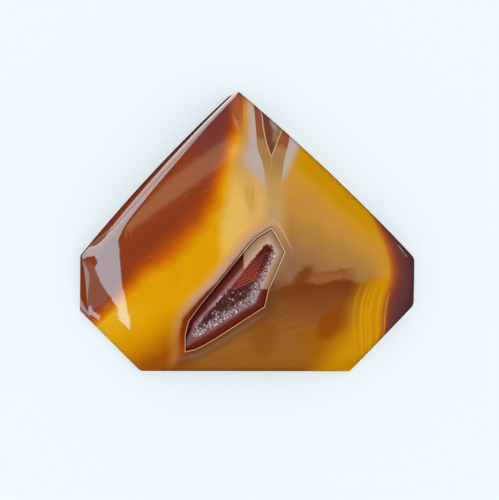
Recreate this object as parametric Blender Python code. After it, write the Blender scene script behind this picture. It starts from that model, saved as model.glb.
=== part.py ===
# A polished agate, cut as a low seven-sided cabochon with a flat back, and the crust of
# small quartz crystals that lines the open pocket in its face.
#
# The stone lies on its back on z = 0, its dome faces +Z and its apex points along +Y.
# The origin is under the middle of its outline. Lengths are millimetres until they go
# into a mesh.

import math
import random

import bmesh
import bpy
import numpy as np
from mathutils.geometry import delaunay_2d_cdt

MM = 0.001

# The corners of the rim, clockwise seen from above, starting at the apex: x, y, radius
# of the rounded corner, how much the side that follows bows outward, and how far in that
# side is ground round at its start and at its end.
RIM_CORNERS = (
    (-2.55, 19.95, 0.9, 0.5, 1.2, 2.2),
    (23.90, -3.35, 1.5, 0.0, 3.0, 3.0),
    (23.90, -10.20, 1.5, 0.0, 3.0, 3.0),
    (14.40, -19.60, 0.5, 0.0, 3.0, 3.5),
    (-15.65, -18.90, 0.6, 0.0, 4.0, 6.5),
    (-22.75, -11.55, 0.5, 0.0, 7.5, 6.5),
    (-23.85, -2.95, 0.8, 0.5, 2.4, 0.7),
)
# The left end slopes outward, so the back has its own corner at the left hip.
LEFT_HIP = 5
BACK_HIP = (-23.90, -10.50)

# The face is a very low dome, ground round towards a rim that climbs to the apex.
THICKNESS = 6.5
CROWN_MIDDLE = (0.0, -2.0)
CROWN_RADIUS = 170.0
RIM_HEIGHT = 2.5
RIM_CLIMB = (0.025, 0.046)
BACK_BEVEL = 0.25
EDGE_POWER = 2.2
EDGE_ROUND = 0.75

# The pocket's rim, clockwise from its top: x, y and the radius of the rounded corner.
POCKET_CORNERS = (
    (1.15, -0.85, 0.8),
    (2.30, -2.50, 0.9),
    (-0.75, -9.40, 0.9),
    (-9.90, -14.75, 0.5),
    (-8.75, -12.20, 1.0),
)
POCKET_MIDDLE = np.array((-2.8, -7.0))
POCKET_WALL = 0.7

# The hollow that the crystals leave open is shallow at its lower left end. Its floor lies
# around a middle line, and its walls are quarter ellipses.
HOLLOW_DEPTH = 2.3
HOLLOW_WALL = 0.8
SHALLOW_END = np.array((-9.3, -14.2))
DEEP_POINT = np.array((-3.0, -8.1))
SHALLOW_SHARE = 0.3
MIDDLE_LINE = np.array(((0.7, -2.9), (-7.6, -12.7)))
LEAST_FLOOR = 0.25

# The crust of crystals, its gap to the stone, and the patch of floor that is bare.
CRUST_THICKNESS = 0.7
CRUST_GAP = 0.3
CUT_RIM = 0.3
CRYSTAL_SPACING = 0.32
CRYSTAL_HEIGHT = 0.3
CRYSTAL_JITTER = 0.2
CRYSTAL_SEED = 4
WALL_UNFOLDED = 1.9
CUT_MARGIN = 0.2
BARE_FLOOR = np.array((-0.9, -4.9))
BARE_LENGTH = 4.0
BARE_WIDTH = 1.3

# Colour, roughness and the angle above which an edge stays sharp.
STONE_FINISH = ((0.62, 0.27, 0.03), 0.06, 40)
CRYSTAL_FINISH = ((0.30, 0.13, 0.12), 0.25, 15)

# How finely the solids are faceted.
SIDE_STEP = 1.6
ARC_STEPS = 3
FACE_RINGS = 12
FACE_CROWDING = 1.8
POCKET_RINGS = 7
POCKET_CROWDING = 1.7


def clear_scene():
    """Remove whatever the file held before."""
    for thing in list(bpy.data.objects):
        bpy.data.objects.remove(thing, do_unlink=True)


def rounded_corner(before, corner, after, radius):
    """Points of the arc that rounds one corner."""
    to_before = (before - corner) / np.linalg.norm(before - corner)
    to_after = (after - corner) / np.linalg.norm(after - corner)
    half_angle = math.acos(to_before @ to_after) / 2
    inward = (to_before + to_after) / np.linalg.norm(to_before + to_after)
    centre = corner + inward * radius / math.sin(half_angle)
    start = corner + to_before * radius / math.tan(half_angle) - centre
    end = corner + to_after * radius / math.tan(half_angle) - centre
    sweep = math.pi - 2 * half_angle
    share = np.linspace(0, 1, ARC_STEPS + 1)[:, None]
    turned = start * np.sin((1 - share) * sweep) + end * np.sin(share * sweep)
    return centre + turned / math.sin(sweep)


def split_sides(places, step):
    """How many lengths each side is split into."""
    lengths = np.linalg.norm(np.roll(places, -1, axis=0) - places, axis=1)
    return [max(1, round(length / step)) for length in lengths]


def outline(places, radii, bows, splits):
    """A closed outline with rounded corners, its sides split and bowed."""
    total = len(places)
    arcs = [rounded_corner(places[i - 1], places[i], places[(i + 1) % total], radii[i])
            for i in range(total)]
    points = []
    for i, arc in enumerate(arcs):
        points.extend(arc)
        start = arc[-1]
        end = arcs[(i + 1) % total][0]
        along = (end - start) / np.linalg.norm(end - start)
        outward = np.array((-along[1], along[0]))
        for step in range(1, splits[i]):
            share = step / splits[i]
            bow = bows[i] * 4 * share * (1 - share)
            points.append(start + (end - start) * share + outward * bow)
    return np.array(points)


def ray_length(loop, origin, direction):
    """Distance from an inner point to a closed outline along one direction."""
    start = loop - origin
    side = np.roll(loop, -1, axis=0) - loop
    crossing = direction[0] * side[:, 1] - direction[1] * side[:, 0]
    along_ray = (start[:, 0] * side[:, 1] - start[:, 1] * side[:, 0]) / crossing
    along_side = (start[:, 0] * direction[1] - start[:, 1] * direction[0]) / crossing
    slack = 1e-9
    hit = (along_ray > 0) & (along_side > -slack) & (along_side < 1 + slack)
    return along_ray[hit].min()


def distance_to(loop, point):
    """Shortest distance from a point to a closed outline."""
    side = np.roll(loop, -1, axis=0) - loop
    offset = point - loop
    share = np.clip((offset * side).sum(axis=1) / (side * side).sum(axis=1), 0, 1)
    return np.linalg.norm(offset - side * share[:, None], axis=1).min()


def inset(loop, amount):
    """A clockwise outline moved inward, point by point."""
    ahead = np.roll(loop, -1, axis=0) - loop
    ahead /= np.linalg.norm(ahead, axis=1)[:, None]
    tangent = ahead + np.roll(ahead, 1, axis=0)
    tangent /= np.linalg.norm(tangent, axis=1)[:, None]
    inward = np.column_stack((tangent[:, 1], -tangent[:, 0]))
    return loop + inward * amount


def ground_edge(share):
    """Climbs from 0 to 1, steeply at first, as a ground and polished edge does."""
    share = min(max(share, 0.0), 1.0)
    return (1 - (1 - share) ** EDGE_POWER) ** EDGE_ROUND


def face_height(x, y):
    """Height of the polished face over one point of the outline."""
    rim = RIM_HEIGHT + RIM_CLIMB[0] * x + RIM_CLIMB[1] * y
    away = math.hypot(x - CROWN_MIDDLE[0], y - CROWN_MIDDLE[1])
    crown = THICKNESS - away ** 2 / (2 * CROWN_RADIUS)
    climb = 1.0
    for i, (start_x, start_y, _, bow, reach, end_reach) in enumerate(RIM_CORNERS):
        end_x, end_y = RIM_CORNERS[(i + 1) % len(RIM_CORNERS)][:2]
        side_x = end_x - start_x
        side_y = end_y - start_y
        length = math.hypot(side_x, side_y)
        from_x = x - start_x
        from_y = y - start_y
        share = min(max((from_x * side_x + from_y * side_y) / length ** 2, 0.0), 1.0)
        inward = (from_x * side_y - from_y * side_x) / length + bow * 4 * share * (1 - share)
        climb *= ground_edge(inward / (reach + (end_reach - reach) * share))
    return rim + (crown - rim) * climb


def on_face(loop):
    """Lift an outline's points onto the polished face."""
    return np.array([(x, y, face_height(x, y)) for x, y in loop])


def depth_share(point):
    """Share of the full depth at a point of the pocket, least at its shallow end."""
    way = DEEP_POINT - SHALLOW_END
    share = min(max((point - SHALLOW_END) @ way / (way @ way), 0.0), 1.0)
    return SHALLOW_SHARE + (1 - SHALLOW_SHARE) * share


def pocket_rings(rim):
    """Rings of points from the pocket's rim down to its floor."""
    rings = [on_face(rim)]
    for ring in range(1, POCKET_RINGS):
        share = (ring / POCKET_RINGS) ** POCKET_CROWDING
        loop = rim + (POCKET_MIDDLE - rim) * share
        points = []
        for place in loop:
            wall = ground_edge(distance_to(rim, place) / POCKET_WALL)
            depth = HOLLOW_DEPTH * depth_share(place) + CRUST_THICKNESS + CRUST_GAP
            points.append((*place, face_height(*place) - depth * wall))
        rings.append(np.array(points))
    return rings


def pocket_bottom():
    """The pocket's lowest point, under its middle."""
    depth = HOLLOW_DEPTH * depth_share(POCKET_MIDDLE) + CRUST_THICKNESS + CRUST_GAP
    return np.array((*POCKET_MIDDLE, face_height(*POCKET_MIDDLE) - depth))


def join_rings(mesh, upper, lower):
    """Faces between two closed rings of vertices."""
    for i in range(len(upper)):
        after = (i + 1) % len(upper)
        mesh.faces.new((upper[i], upper[after], lower[after], lower[i]))


def add_ring(mesh, points):
    """Vertices of one ring."""
    return [mesh.verts.new(point * MM) for point in points]


def close_ring(mesh, ring, point):
    """Faces from a ring to one point inside it."""
    tip = mesh.verts.new(point * MM)
    for i in range(len(ring)):
        mesh.faces.new((ring[i], ring[(i + 1) % len(ring)], tip))


def make_object(name, mesh, material_name, finish):
    """Finish a closed mesh as a named object with its material."""
    colour, roughness, sharp_angle = finish
    bmesh.ops.recalc_face_normals(mesh, faces=mesh.faces)
    data = bpy.data.meshes.new(name)
    mesh.to_mesh(data)
    mesh.free()
    data.shade_smooth()
    data.set_sharp_from_angle(angle=math.radians(sharp_angle))
    data.materials.append(make_material(material_name, colour, roughness))
    bpy.context.collection.objects.link(bpy.data.objects.new(name, data))


def make_material(name, colour, roughness):
    """A plain glossy mineral."""
    material = bpy.data.materials.new(name)
    material.use_nodes = True
    shader = material.node_tree.nodes["Principled BSDF"]
    shader.inputs["Base Color"].default_value = (*colour, 1.0)
    shader.inputs["Roughness"].default_value = roughness
    shader.inputs["Metallic"].default_value = 0.0
    return material


def rim_outline():
    """The outline where the polished face meets the sides."""
    places = np.array([corner[:2] for corner in RIM_CORNERS])
    radii = [corner[2] for corner in RIM_CORNERS]
    bows = [corner[3] for corner in RIM_CORNERS]
    return outline(places, radii, bows, split_sides(places, SIDE_STEP))


def back_outline():
    """The outline of the back, which differs from the rim's at the left hip."""
    rim_places = np.array([corner[:2] for corner in RIM_CORNERS])
    places = rim_places.copy()
    places[LEFT_HIP] = BACK_HIP
    radii = [corner[2] for corner in RIM_CORNERS]
    bows = [corner[3] for corner in RIM_CORNERS]
    return outline(places, radii, bows, split_sides(rim_places, SIDE_STEP))


def pocket_rim(rim):
    """The pocket's rim, one point on the way to each point of the stone's rim."""
    places = np.array([corner[:2] for corner in POCKET_CORNERS])
    radii = [corner[2] for corner in POCKET_CORNERS]
    sides = len(places)
    smooth = outline(places, radii, [0.0] * sides, [1] * sides)
    points = []
    for place in rim:
        way = (place - POCKET_MIDDLE) / np.linalg.norm(place - POCKET_MIDDLE)
        points.append(POCKET_MIDDLE + way * ray_length(smooth, POCKET_MIDDLE, way))
    return np.array(points)


def make_stone():
    """The whole agate: face, sides, flat back and the open pocket."""
    rim = rim_outline()
    back = back_outline()
    inner = pocket_rim(rim)
    mesh = bmesh.new()

    rings = []
    for ring in range(FACE_RINGS + 1):
        share = 1 - (1 - ring / FACE_RINGS) ** FACE_CROWDING
        rings.append(add_ring(mesh, on_face(inner + (rim - inner) * share)))
    for near, far in zip(rings, rings[1:]):
        join_rings(mesh, near, far)

    bevel_height = np.full(len(back), BACK_BEVEL)
    side = add_ring(mesh, np.column_stack((back, bevel_height)))
    bottom = add_ring(mesh, np.column_stack((inset(back, BACK_BEVEL), bevel_height * 0)))
    join_rings(mesh, rings[-1], side)
    join_rings(mesh, side, bottom)
    mesh.faces.new(bottom)

    above = rings[0]
    for points in pocket_rings(inner)[1:]:
        below = add_ring(mesh, points)
        join_rings(mesh, above, below)
        above = below
    close_ring(mesh, above, pocket_bottom())

    make_object("agate_stone", mesh, "polished_agate", STONE_FINISH)


def ring_normals(rings):
    """Directions into the hollow at every point of the pocket's rings."""
    stack = np.array(rings)
    around = np.roll(stack, -1, axis=1) - np.roll(stack, 1, axis=1)
    inward = np.gradient(stack, axis=0)
    normals = np.cross(inward, around)
    normals *= np.sign(normals[-1, :1, 2:])
    return normals / np.linalg.norm(normals, axis=2)[:, :, None]


def bare_share(x, y):
    """1 in the middle of the bare patch of floor, 0 outside it."""
    way = (DEEP_POINT - BARE_FLOOR) / np.linalg.norm(DEEP_POINT - BARE_FLOOR)
    offset = np.array((x, y)) - BARE_FLOOR
    along = offset @ way / BARE_LENGTH
    across = (offset[0] * way[1] - offset[1] * way[0]) / BARE_WIDTH
    return min(max(2 - 2 * math.hypot(along, across), 0.0), 1.0)


def from_middle_line(point):
    """Nearest place on the middle line, and the way and distance from it to a point."""
    start, end = MIDDLE_LINE
    share = (point - start) @ (end - start) / ((end - start) @ (end - start))
    nearest = start + (end - start) * min(max(share, 0.0), 1.0)
    offset = point - nearest
    return nearest, offset / np.linalg.norm(offset), np.linalg.norm(offset)


def cross_section(edge, nearest, way):
    """Half widths of the whole hollow and of its floor, one way from the middle line."""
    reach = ray_length(edge, nearest, way)
    return reach, max(reach - CUT_RIM - HOLLOW_WALL, LEAST_FLOOR * reach)


def edge_points(edge):
    """The crust's cut rim, outside then inside, as real points and as unfolded ones."""
    real = [[], []]
    unfolded = [[], []]
    for place in edge:
        nearest, way, _ = from_middle_line(place)
        reach, floor = cross_section(edge, nearest, way)
        for side, width in enumerate((0.0, CUT_RIM)):
            x, y = nearest + way * (reach - width)
            real[side].append((x, y, face_height(x, y)))
            unfolded[side].append(nearest + way * (floor + WALL_UNFOLDED + CUT_RIM - width))
    return real[0] + real[1][::2], unfolded[0] + unfolded[1][::2]


def on_hollow(edge, place, lift):
    """Fold a place onto the hollow's lining and lift it off; None past the cut rim."""
    nearest, way, away = from_middle_line(place)
    reach, floor = cross_section(edge, nearest, way)
    if away > floor + WALL_UNFOLDED - CUT_MARGIN:
        return None
    angle = max(away - floor, 0.0) / WALL_UNFOLDED * math.pi / 2
    wall = reach - CUT_RIM - floor
    x, y = nearest + way * (min(away, floor) + wall * math.sin(angle))
    depth = HOLLOW_DEPTH * depth_share(np.array((x, y)))
    normal = np.array((depth * math.sin(angle), wall * math.cos(angle)))
    normal *= lift * (1 - bare_share(x, y)) / np.linalg.norm(normal)
    height = face_height(x, y) - depth * math.cos(angle)
    return x - way[0] * normal[0], y - way[1] * normal[0], height + normal[1]


def crystal_points(edge):
    """A jittered honeycomb over floor and walls, each cell's middle raised to a tip."""
    chance = random.Random(CRYSTAL_SEED)
    row_height = CRYSTAL_SPACING * math.sqrt(3) / 2
    low = edge.min(axis=0) - WALL_UNFOLDED
    high = edge.max(axis=0) + WALL_UNFOLDED
    rows = int((high[1] - low[1]) / row_height) + 1
    columns = int((high[0] - low[0]) / CRYSTAL_SPACING) + 1
    real = []
    unfolded = []
    for row in range(rows):
        for column in range(-row // 2, columns):
            shift = [chance.uniform(-CRYSTAL_JITTER, CRYSTAL_JITTER) for _ in range(3)]
            x = low[0] + (column + row / 2 + shift[0]) * CRYSTAL_SPACING
            y = low[1] + row * row_height + shift[1] * CRYSTAL_SPACING
            is_tip = (column - row) % 3 == 0
            place = np.array((x, y))
            point = on_hollow(edge, place, CRYSTAL_HEIGHT * (1 + shift[2]) * is_tip)
            if point is not None:
                real.append(point)
                unfolded.append(place)
    return real, unfolded


def make_crust():
    """The crystals that line the pocket, one closed crust with a cut and polished rim."""
    rings = pocket_rings(pocket_rim(rim_outline()))
    normals = ring_normals(rings)
    edge = inset(rings[0][:, :2], CRUST_GAP)
    mesh = bmesh.new()

    real, unfolded = edge_points(edge)
    crystals, crystals_unfolded = crystal_points(edge)
    flat = [(place[0], place[1]) for place in unfolded + crystals_unfolded]
    loop = list(range(len(edge)))
    _, _, faces, sources, _, _ = delaunay_2d_cdt(flat, [], [loop], 1, 1e-6)
    verts = add_ring(mesh, np.array(real + crystals))
    for face in faces:
        mesh.faces.new([verts[sources[corner][0]] for corner in face])

    above = verts[:len(edge)]
    for points, outward in zip(rings[1:], normals[1:]):
        below = add_ring(mesh, points + outward * CRUST_GAP)
        join_rings(mesh, above, below)
        above = below
    close_ring(mesh, above, pocket_bottom() + np.array((0, 0, CRUST_GAP)))

    make_object("druzy_crust", mesh, "quartz_crystals", CRYSTAL_FINISH)


clear_scene()
make_stone()
make_crust()
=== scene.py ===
import math

import bpy
import numpy as np
from mathutils import Matrix, Vector


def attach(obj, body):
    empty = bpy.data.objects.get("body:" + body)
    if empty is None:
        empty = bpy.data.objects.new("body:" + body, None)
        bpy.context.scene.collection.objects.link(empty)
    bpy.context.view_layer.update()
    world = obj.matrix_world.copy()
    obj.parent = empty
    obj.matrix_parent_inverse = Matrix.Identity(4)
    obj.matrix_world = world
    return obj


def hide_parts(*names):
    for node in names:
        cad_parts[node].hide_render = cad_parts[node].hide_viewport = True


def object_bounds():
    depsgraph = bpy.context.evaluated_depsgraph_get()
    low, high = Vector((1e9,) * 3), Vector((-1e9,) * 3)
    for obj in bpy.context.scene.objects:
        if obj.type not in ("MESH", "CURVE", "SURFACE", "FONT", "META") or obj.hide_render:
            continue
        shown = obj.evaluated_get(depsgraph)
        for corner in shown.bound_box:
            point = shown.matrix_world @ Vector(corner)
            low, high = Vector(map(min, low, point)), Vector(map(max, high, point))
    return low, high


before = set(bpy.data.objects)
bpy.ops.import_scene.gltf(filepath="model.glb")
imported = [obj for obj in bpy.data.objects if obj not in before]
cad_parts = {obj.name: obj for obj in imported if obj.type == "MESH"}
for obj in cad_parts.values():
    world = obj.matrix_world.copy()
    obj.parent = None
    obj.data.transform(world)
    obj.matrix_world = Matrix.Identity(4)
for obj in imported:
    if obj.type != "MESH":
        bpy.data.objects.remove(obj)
cad_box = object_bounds()
scene = bpy.context.scene


# The stone
# One agate, slabbed from a nodule, ground to a seven-sided cabochon with a flat back
# and polished. Its pocket is where the nodule's hollow was cut open.
MM = 0.001
# Each corner of the rim, in millimetres: its place, its radius, how far the side after
# it bows out, and how wide that side's ground shoulder is at its start and at its end.
RIM_CORNERS = (
    (-2.55, 19.95, 0.9, 0.5, 1.2, 2.2),
    (23.90, -3.35, 1.5, 0.0, 3.0, 3.0),
    (23.90, -10.20, 1.5, 0.0, 3.0, 3.0),
    (14.40, -19.60, 0.5, 0.0, 3.0, 3.5),
    (-15.65, -18.90, 0.6, 0.0, 4.0, 6.5),
    (-22.75, -11.55, 0.5, 0.0, 7.5, 6.5),
    (-23.85, -2.95, 0.8, 0.5, 2.4, 0.7),
)
LEFT_HIP = 5
BACK_HIP = (-23.90, -10.50)
THICKNESS = 6.5
CROWN_MIDDLE = (0.0, -2.0)
CROWN_RADIUS = 170.0
RIM_HEIGHT = 2.5
RIM_CLIMB = (0.025, 0.046)
BACK_BEVEL = 0.25
EDGE_POWER = 2.2
EDGE_ROUND = 0.75
SHARP_ANGLE = 35
# Each corner of the pocket's mouth: its place and its radius.
POCKET_CORNERS = (
    (1.15, -0.85, 0.8),
    (2.30, -2.50, 0.9),
    (-0.75, -9.40, 0.9),
    (-9.90, -14.75, 0.5),
    (-8.75, -12.20, 1.0),
)
POCKET_MIDDLE = np.array((-2.8, -7.0))
POCKET_WALL = 0.7
POCKET_DEPTH = 3.3
HOLLOW_DEPTH = 2.3
SHALLOW_END = np.array((-9.3, -14.2))
DEEP_POINT = np.array((-3.0, -8.1))
SHALLOW_SHARE = 0.3
SIDE_STEP = 0.24
ARC_STEPS = 8
FACE_RINGS = 105
FACE_CROWDING = 2.3
POCKET_RINGS = 16
POCKET_CROWDING = 1.7


def rounded_corner(before, corner, after, radius):
    """Points of the arc that rounds one corner."""
    to_before = (before - corner) / np.linalg.norm(before - corner)
    to_after = (after - corner) / np.linalg.norm(after - corner)
    half_angle = math.acos(to_before @ to_after) / 2
    inward = (to_before + to_after) / np.linalg.norm(to_before + to_after)
    centre = corner + inward * radius / math.sin(half_angle)
    start = corner + to_before * radius / math.tan(half_angle) - centre
    end = corner + to_after * radius / math.tan(half_angle) - centre
    sweep = math.pi - 2 * half_angle
    share = np.linspace(0, 1, ARC_STEPS + 1)[:, None]
    turned = start * np.sin((1 - share) * sweep) + end * np.sin(share * sweep)
    return centre + turned / math.sin(sweep)


def outline(places, radii, bows, splits):
    """A closed clockwise outline with rounded corners, its sides split and bowed."""
    total = len(places)
    arcs = [rounded_corner(places[i - 1], places[i], places[(i + 1) % total], radii[i])
            for i in range(total)]
    points = []
    for i, arc in enumerate(arcs):
        points.extend(arc)
        start = arc[-1]
        end = arcs[(i + 1) % total][0]
        along = (end - start) / np.linalg.norm(end - start)
        outward = np.array((-along[1], along[0]))
        for step in range(1, splits[i]):
            share = step / splits[i]
            bow = bows[i] * 4 * share * (1 - share)
            points.append(start + (end - start) * share + outward * bow)
    return np.array(points)


def stone_outline(moved_hip=None):
    """The rim's outline, or the back's where its left hip is moved."""
    places = np.array([corner[:2] for corner in RIM_CORNERS])
    lengths = np.linalg.norm(np.roll(places, -1, axis=0) - places, axis=1)
    splits = [max(1, round(length / SIDE_STEP)) for length in lengths]
    if moved_hip is not None:
        places[LEFT_HIP] = moved_hip
    radii = [corner[2] for corner in RIM_CORNERS]
    bows = [corner[3] for corner in RIM_CORNERS]
    return outline(places, radii, bows, splits)


def ray_length(loop, origin, direction):
    """Distance from an inner point to a closed outline along one direction."""
    start = loop - origin
    side = np.roll(loop, -1, axis=0) - loop
    crossing = direction[0] * side[:, 1] - direction[1] * side[:, 0]
    along_ray = (start[:, 0] * side[:, 1] - start[:, 1] * side[:, 0]) / crossing
    along_side = (start[:, 0] * direction[1] - start[:, 1] * direction[0]) / crossing
    slack = 1e-9
    hit = (along_ray > 0) & (along_side > -slack) & (along_side < 1 + slack)
    return along_ray[hit].min()


def distance_to(loop, places):
    """Shortest distance from each place to a closed outline."""
    side = np.roll(loop, -1, axis=0) - loop
    offset = places[:, None, :] - loop[None, :, :]
    share = np.clip((offset * side).sum(axis=2) / (side * side).sum(axis=1), 0, 1)
    return np.linalg.norm(offset - side * share[:, :, None], axis=2).min(axis=1)


def inset(loop, amount):
    """A clockwise outline moved inward, point by point."""
    ahead = np.roll(loop, -1, axis=0) - loop
    ahead /= np.linalg.norm(ahead, axis=1)[:, None]
    tangent = ahead + np.roll(ahead, 1, axis=0)
    tangent /= np.linalg.norm(tangent, axis=1)[:, None]
    return loop + np.column_stack((tangent[:, 1], -tangent[:, 0])) * amount


def rounded_step(way_in):
    """A rise from 0 at an edge to 1 inside it, steep at first and then easing off."""
    left = 1 - np.clip(way_in, 0, 1)
    return (1 - left ** EDGE_POWER) ** EDGE_ROUND


def face_height(places):
    """Height of the polished face over each place of the outline."""
    x, y = places[..., 0], places[..., 1]
    rim = RIM_HEIGHT + RIM_CLIMB[0] * x + RIM_CLIMB[1] * y
    away = np.hypot(x - CROWN_MIDDLE[0], y - CROWN_MIDDLE[1])
    crown = THICKNESS - away ** 2 / (2 * CROWN_RADIUS)
    climb = np.ones_like(x)
    for i, (start_x, start_y, _, bow, reach, end_reach) in enumerate(RIM_CORNERS):
        end_x, end_y = RIM_CORNERS[(i + 1) % len(RIM_CORNERS)][:2]
        side_x = end_x - start_x
        side_y = end_y - start_y
        length = math.hypot(side_x, side_y)
        from_x = x - start_x
        from_y = y - start_y
        share = np.clip((from_x * side_x + from_y * side_y) / length ** 2, 0, 1)
        inward = (from_x * side_y - from_y * side_x) / length + bow * 4 * share * (1 - share)
        climb *= rounded_step(inward / (reach + (end_reach - reach) * share))
    return rim + (crown - rim) * climb


def on_face(places):
    """Lift places onto the polished face."""
    return np.column_stack((places, face_height(places)))


def depth_share(places):
    """Share of the pocket's full depth at each place, least at its shallow end."""
    way = DEEP_POINT - SHALLOW_END
    share = np.clip((places - SHALLOW_END) @ way / (way @ way), 0, 1)
    return SHALLOW_SHARE + (1 - SHALLOW_SHARE) * share


def pocket_depth(places):
    """Depth of the pocket's floor under the face at each place."""
    return POCKET_DEPTH - HOLLOW_DEPTH * (1 - depth_share(places))


def pocket_surface(places, from_rim):
    """Height of the pocket's wall, given each place's distance from the pocket's rim."""
    return face_height(places) - pocket_depth(places) * rounded_step(from_rim / POCKET_WALL)


def ring_faces(first, second, count):
    """Faces between two closed rings, given by the index of each one's first point."""
    here = np.arange(count)
    after = (here + 1) % count
    return np.column_stack((first + here, first + after, second + after, second + here))


def add_piece(name, points, faces, smooth):
    """A mesh object from points in millimetres."""
    mesh = bpy.data.meshes.new(name)
    mesh.from_pydata((np.asarray(points) * MM).tolist(), [], faces)
    mesh.update()
    mesh.polygons.foreach_set("use_smooth", [smooth] * len(mesh.polygons))
    piece = bpy.data.objects.new(name, mesh)
    scene.collection.objects.link(piece)
    return piece


def build_stone():
    """Rings from the pocket's floor up to its rim, over the face and down the sides."""
    rim = stone_outline()
    back = stone_outline(BACK_HIP)
    count = len(rim)
    sides = [corner[:2] for corner in POCKET_CORNERS]
    pocket = outline(np.array(sides), [corner[2] for corner in POCKET_CORNERS],
                     [0.0] * len(sides), [1] * len(sides))
    inner = []
    for place in rim:
        way = (place - POCKET_MIDDLE) / np.linalg.norm(place - POCKET_MIDDLE)
        inner.append(POCKET_MIDDLE + way * ray_length(pocket, POCKET_MIDDLE, way))
    inner = np.array(inner)

    rings = []
    for ring in range(POCKET_RINGS - 1, 0, -1):
        share = (ring / POCKET_RINGS) ** POCKET_CROWDING
        loop = inner + (POCKET_MIDDLE - inner) * share
        height = pocket_surface(loop, distance_to(inner, loop))
        rings.append(np.column_stack((loop, height)))
    for ring in range(FACE_RINGS + 1):
        share = 1 - (1 - ring / FACE_RINGS) ** FACE_CROWDING
        rings.append(on_face(inner + (rim - inner) * share))
    level = np.ones((count, 1))
    rings.append(np.hstack((back, level * BACK_BEVEL)))
    rings.append(np.hstack((inset(back, BACK_BEVEL), level * 0)))

    points = np.vstack(rings)
    faces = [ring_faces(i * count, (i + 1) * count, count) for i in range(len(rings) - 1)]
    faces = np.vstack(faces).tolist()
    bottom = (*POCKET_MIDDLE, face_height(POCKET_MIDDLE) - pocket_depth(POCKET_MIDDLE))
    lowest, highest = [np.array(corner) / MM for corner in cad_box]
    points = np.clip(np.vstack((points, bottom)), lowest, highest)
    tip = len(points) - 1
    faces += [(i, (i + 1) % count, tip) for i in range(count)]
    faces.append(list(range(tip - 1, tip - 1 - count, -1)))
    return points, faces, inner


stone_points, stone_faces, pocket_rim = build_stone()
stone = add_piece("agate_cabochon", stone_points, stone_faces, True)
stone.data.set_sharp_from_angle(angle=math.radians(SHARP_ANGLE))


def srgb(red, green, blue):
    """A colour given as screen values, turned into linear light."""
    parts = [value / 255 for value in (red, green, blue)]
    return [p / 12.92 if p <= 0.04045 else ((p + 0.055) / 1.055) ** 2.4 for p in parts]


class Paint:
    """A socket of a finish; plain arithmetic on it adds the nodes that do the sum."""

    def __init__(self, tree, socket=None):
        self.tree = tree
        self.socket = socket

    def add(self, kind, settings=None, sockets=None, output=0):
        """Add one node, set it up, join or fill its sockets, and give back an output."""
        node = self.tree.nodes.new("ShaderNode" + kind)
        for name, value in (settings or {}).items():
            if name == "stops":
                set_stops(node.color_ramp.elements, value)
            elif name == "knots":
                set_knots(node.mapping, value)
            else:
                setattr(node, name, value)
        for name, value in (sockets or {}).items():
            if isinstance(value, Paint):
                self.tree.links.new(value.socket, node.inputs[name])
            else:
                node.inputs[name].default_value = value
        return Paint(self.tree, node.outputs[output])

    def maths(self, operation, *values):
        return self.add("Math", {"operation": operation}, dict(enumerate(values)))

    def __add__(self, other):
        return self.maths("ADD", self, other)

    def __radd__(self, other):
        return self.maths("ADD", other, self)

    def __sub__(self, other):
        return self.maths("SUBTRACT", self, other)

    def __rsub__(self, other):
        return self.maths("SUBTRACT", other, self)

    def __mul__(self, other):
        return self.maths("MULTIPLY", self, other)

    def __rmul__(self, other):
        return self.maths("MULTIPLY", other, self)

    def __truediv__(self, other):
        return self.maths("DIVIDE", self, other)

    def rise(self, start, end):
        """A soft step from 0 at start to 1 at end; it falls where end is below start."""
        return self.add("MapRange", {"interpolation_type": "SMOOTHSTEP"},
                        {"Value": self, "From Min": start, "From Max": end})

    def follow(self, knots):
        """The height of a smooth curve through knots, at this value."""
        places = [knot[0] for knot in knots]
        heights = [knot[1] for knot in knots]
        low, high = min(heights), max(heights)
        spread = places[-1] - places[0]
        unit = [((p - places[0]) / spread, (h - low) / (high - low)) for p, h in knots]
        curve = self.add("FloatCurve", {"knots": unit}, {"Value": (self - places[0]) / spread})
        return curve * (high - low) + low

    def most(self, other):
        return self.maths("MAXIMUM", self, other)

    def least(self, other):
        return self.maths("MINIMUM", self, other)

    def band(self, middle, half_width, softness):
        """1 within half_width of middle, fading to 0 over the softness."""
        away = self.maths("ABSOLUTE", self - middle)
        return away.rise(half_width + softness, half_width)

    def ramp(self, stops):
        """A colour that runs through stops of (value, screen colour)."""
        start, end = stops[0][0], stops[-1][0]
        unit = [((value - start) / (end - start), srgb(*colour)) for value, colour in stops]
        share = self.add("MapRange", {}, {"Value": self, "From Min": start, "From Max": end})
        return self.add("ValToRGB", {"stops": unit}, {"Fac": share})


def set_stops(elements, stops):
    """Give a colour ramp its stops."""
    while len(elements) < len(stops):
        elements.new(1.0)
    for element, (place, colour) in zip(elements, stops):
        element.position = place
        element.color = (*colour, 1)


def set_knots(mapping, knots):
    """Give a curve its knots."""
    points = mapping.curves[0].points
    while len(points) < len(knots):
        points.new(0.5, 0.5)
    for point, knot in zip(points, knots):
        point.location = knot
    mapping.update()


def cover(base, colour, mask):
    """Lay a colour over a base where the mask is 1; either may be one screen colour."""
    under, over = [(*srgb(*layer), 1) if isinstance(layer, tuple) else layer
                   for layer in (base, colour)]
    return mask.add("Mix", {"data_type": "RGBA"}, {0: mask, 6: under, 7: over}, output=2)


# The colours of the agate. Iron stained the layers brown, red and yellow as they grew
# inward, parallel to the nodule's skin and then round its hollow, and the sawn face
# cuts across them. Some colours right of the crescent and round the hollow's upper right
# end are a painted reflection of the sky's haze and its horizon. Colours are screen values.
# Stops are (place in millimetres, colour), edges and widths are (place along, place or
# width across), and patches are (middle, radii, turn in degrees, softness).
POLISH_ROUGHNESS = 0.06
AGATE_IOR = 1.54
FACE_LEVEL = 6.2
LAYER_SLANT = (0.10, -0.06)
SWAY = 1.2
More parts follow.
